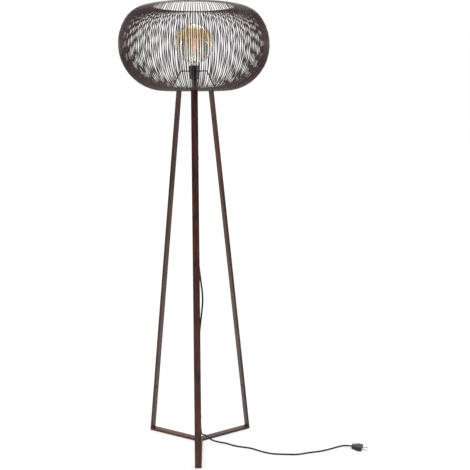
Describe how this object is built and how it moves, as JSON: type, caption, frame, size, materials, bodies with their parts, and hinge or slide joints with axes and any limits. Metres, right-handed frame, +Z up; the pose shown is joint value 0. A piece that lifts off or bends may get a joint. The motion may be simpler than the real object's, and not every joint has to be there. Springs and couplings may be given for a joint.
{
  "type": "wire cage floor lamp",
  "caption": "Floor lamp with three leaning flat-bar legs, a Y base, a globe bulb and a round open cage of fine upright wires.",
  "frame": {"origin": "on the floor, on the lamp's upright axis where the three floor arms meet", "axes": "+Z up along the lamp's axis, -Y towards the front leg, +X to the viewer's right"},
  "size_m": [0.8218, 0.4834, 1.4753],
  "materials": {
    "bronze_bar": "satin bronze",
    "cage_wire": "satin dark bronze",
    "black_wire": "black",
    "dark_screw": "blackened",
    "black_plastic": "matte",
    "black_rubber": "matte",
    "cord_black": "satin",
    "brass_nickel": "nickel plated",
    "ceramic": "glazed",
    "amber_glass": "amber tint",
    "clear_glass": "clear",
    "filament": "glowing"
  },
  "bodies": {
    "root": {"cable_clip_lower": "black_plastic", "cable_clip_upper": "black_plastic", "cage_ring_bottom": "cage_wire", "cage_ring_top": "cage_wire", "cage_wires_back": "cage_wire", "cage_wires_front": "cage_wire", "cage_wires_left": "cage_wire", "cage_wires_right": "cage_wire", "centre_contact": "brass_nickel", "clip_screws": "dark_screw", "cord": "cord_black", "floor_arm_front": "bronze_bar", "floor_arm_left": "bronze_bar", "floor_arm_right": "bronze_bar", "foot_pads": "black_rubber", "holder_body": "black_plastic", "holder_cap": "black_plastic", "holder_insert": "ceramic", "hub_nut": "dark_screw", "inner_lead": "cord_black", "leg_front": "bronze_bar", "leg_left": "bronze_bar", "leg_right": "bronze_bar", "leg_screws": "dark_screw", "plug_body": "black_plastic", "plug_pins": "brass_nickel", "post_sleeve": "bronze_bar", "spider_arms": "black_wire", "spider_ring": "black_wire", "strain_relief": "black_rubber", "terminals": "brass_nickel", "thread_shell": "brass_nickel", "threaded_tube": "dark_screw", "top_arm_front": "bronze_bar", "top_arm_left": "bronze_bar", "top_arm_right": "bronze_bar", "top_hub": "bronze_bar"},
    "bulb": {"bulb_cap": "brass_nickel", "bulb_filament": "filament", "bulb_glass": "amber_glass", "bulb_insulator": "black_plastic", "bulb_stem": "clear_glass", "bulb_tip_contact": "brass_nickel"},
    "shade_ring": {"shade_ring": "black_plastic"}
  },
  "joints": [
    {"name": "bulb_turn", "type": "hinge", "parent": "root", "child": "bulb", "pos_m": [0, 0, 1.28], "axis": [0, 0, 1], "range_deg": [0, 1260]},
    {"name": "shade_ring_turn", "type": "hinge", "parent": "root", "child": "shade_ring", "pos_m": [0, 0, 1.282], "axis": [0, 0, 1], "range_deg": [0, 1530]}
  ]
}
